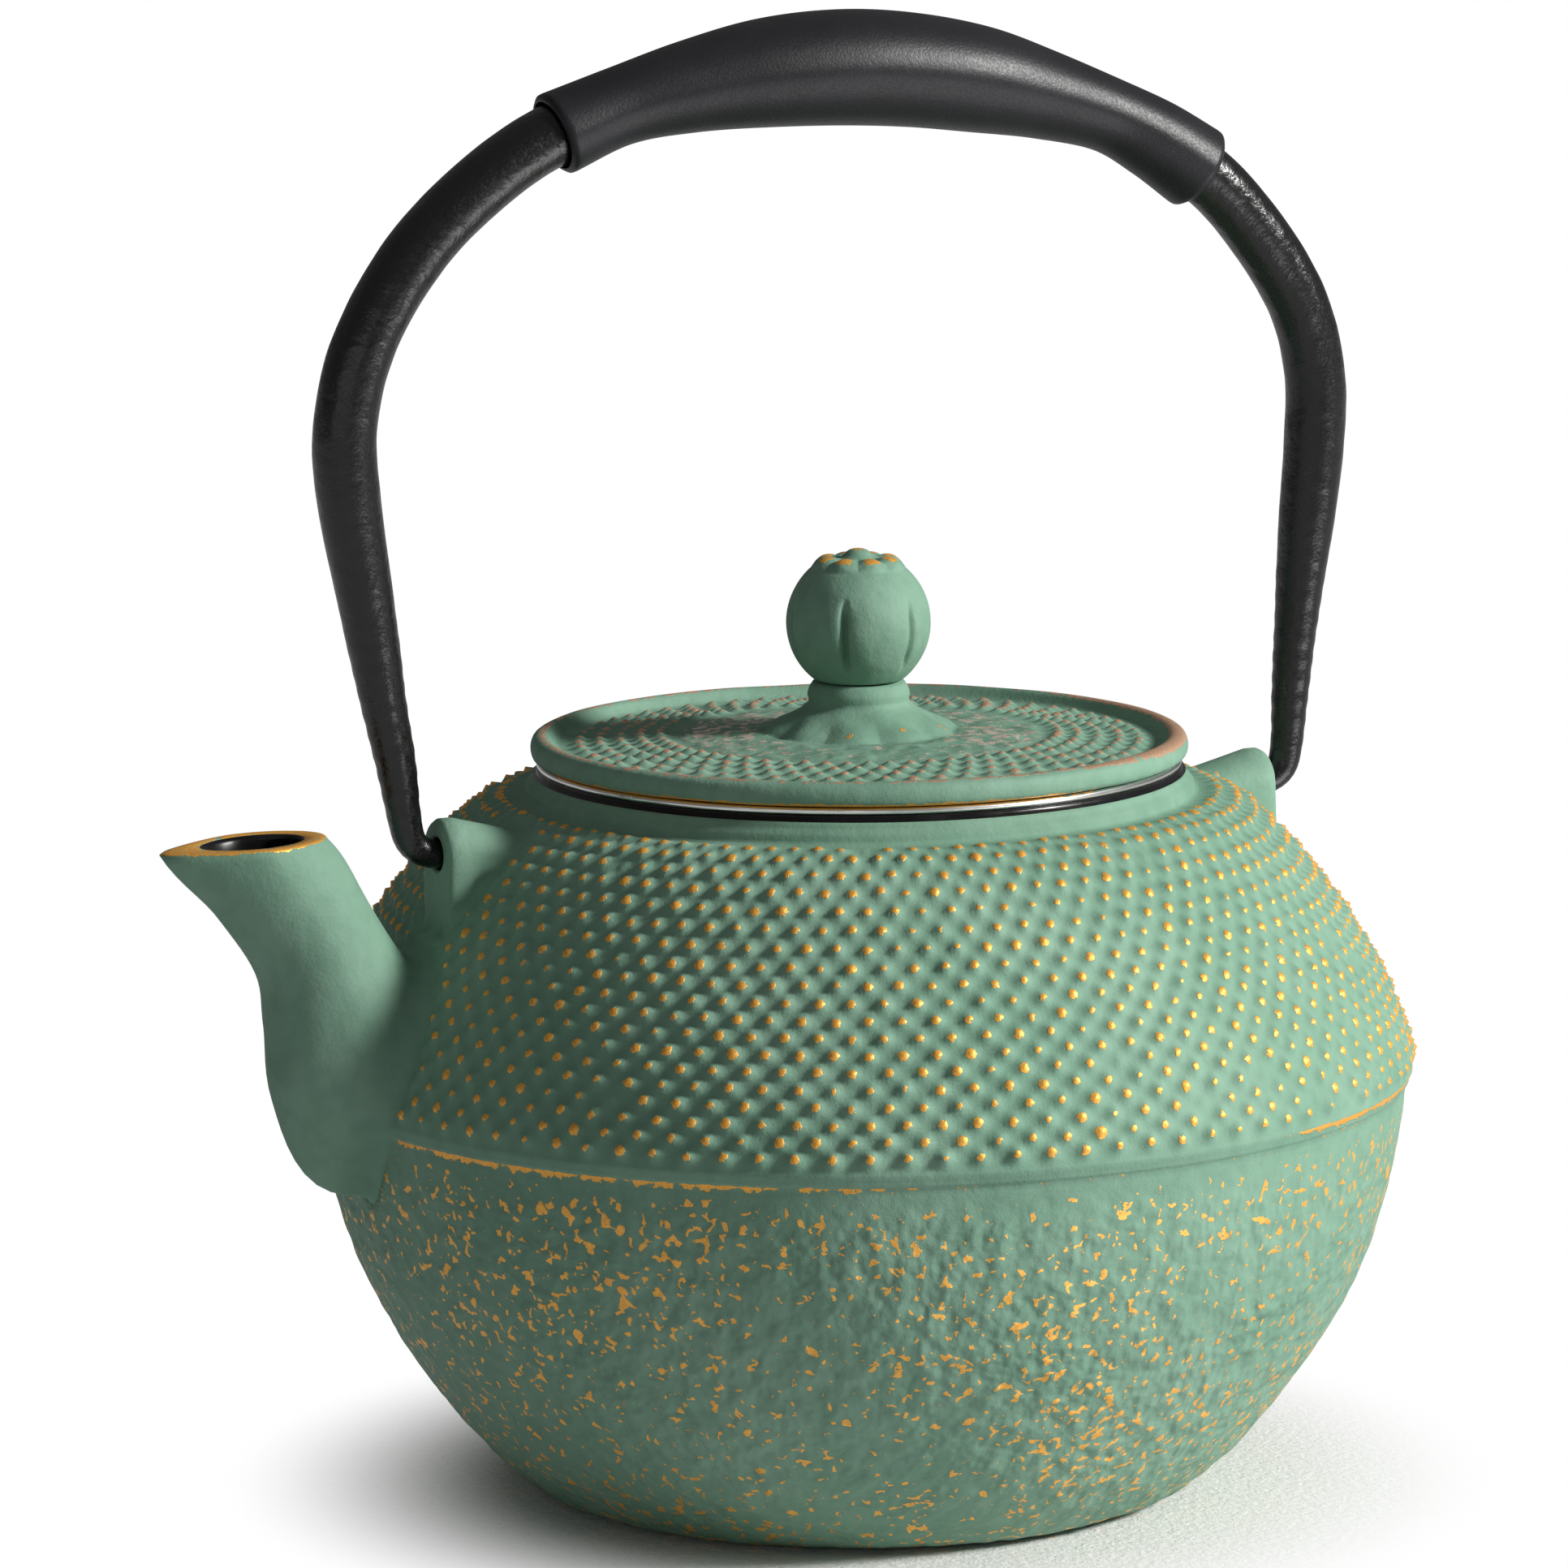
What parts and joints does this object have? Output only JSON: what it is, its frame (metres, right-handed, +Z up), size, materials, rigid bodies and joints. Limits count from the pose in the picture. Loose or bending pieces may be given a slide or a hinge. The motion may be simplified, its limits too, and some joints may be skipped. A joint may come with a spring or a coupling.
{
  "type": "teapot",
  "caption": "Low round cast iron teapot with a hobnail shoulder, short curved spout, recessed lid with ball knob, steel strainer basket and hinged bail handle",
  "frame": {"origin": "centre of the flat base, on the surface the pot stands on", "axes": "+Z up, the spout points along -X, the handle stands in the XZ plane"},
  "size_m": [0.1855, 0.1586, 0.2122],
  "materials": {
    "painted_iron": "matte sage green paint, rubbed gold on the high spots, black enamel inside",
    "steel": "satin",
    "black_bail": "satin black, slightly worn",
    "black_grip": "satin black"
  },
  "bodies": {
    "pot": {"pot_body": "painted_iron"},
    "strainer": {"strainer_rim": "steel", "strainer_wall": "steel", "strainer_foot": "steel", "strainer_base": "steel"},
    "lid": {"lid": "painted_iron"},
    "knob": {"lid_knob": "painted_iron", "knob_rivet": "steel", "knob_washer": "steel"},
    "handle": {"handle_bail": "black_bail", "handle_grip": "black_grip"}
  },
  "joints": [
    {"name": "handle_swing", "type": "hinge", "parent": "pot", "child": "handle", "pos_m": [0, 0, 0.0966], "axis": [1, 0, 0], "range_deg": [-120, 120]},
    {"name": "strainer_lift", "type": "slide", "parent": "pot", "child": "strainer", "axis": [0, 0, 1], "range_m": [0, 0.026]},
    {"name": "lid_lift", "type": "slide", "parent": "strainer", "child": "lid", "axis": [0, 0, 1], "range_m": [0, 0.028]},
    {"name": "knob_spin", "type": "hinge", "parent": "lid", "child": "knob", "pos_m": [0, 0, 0.1248], "axis": [0, 0, 1], "continuous": true}
  ]
}
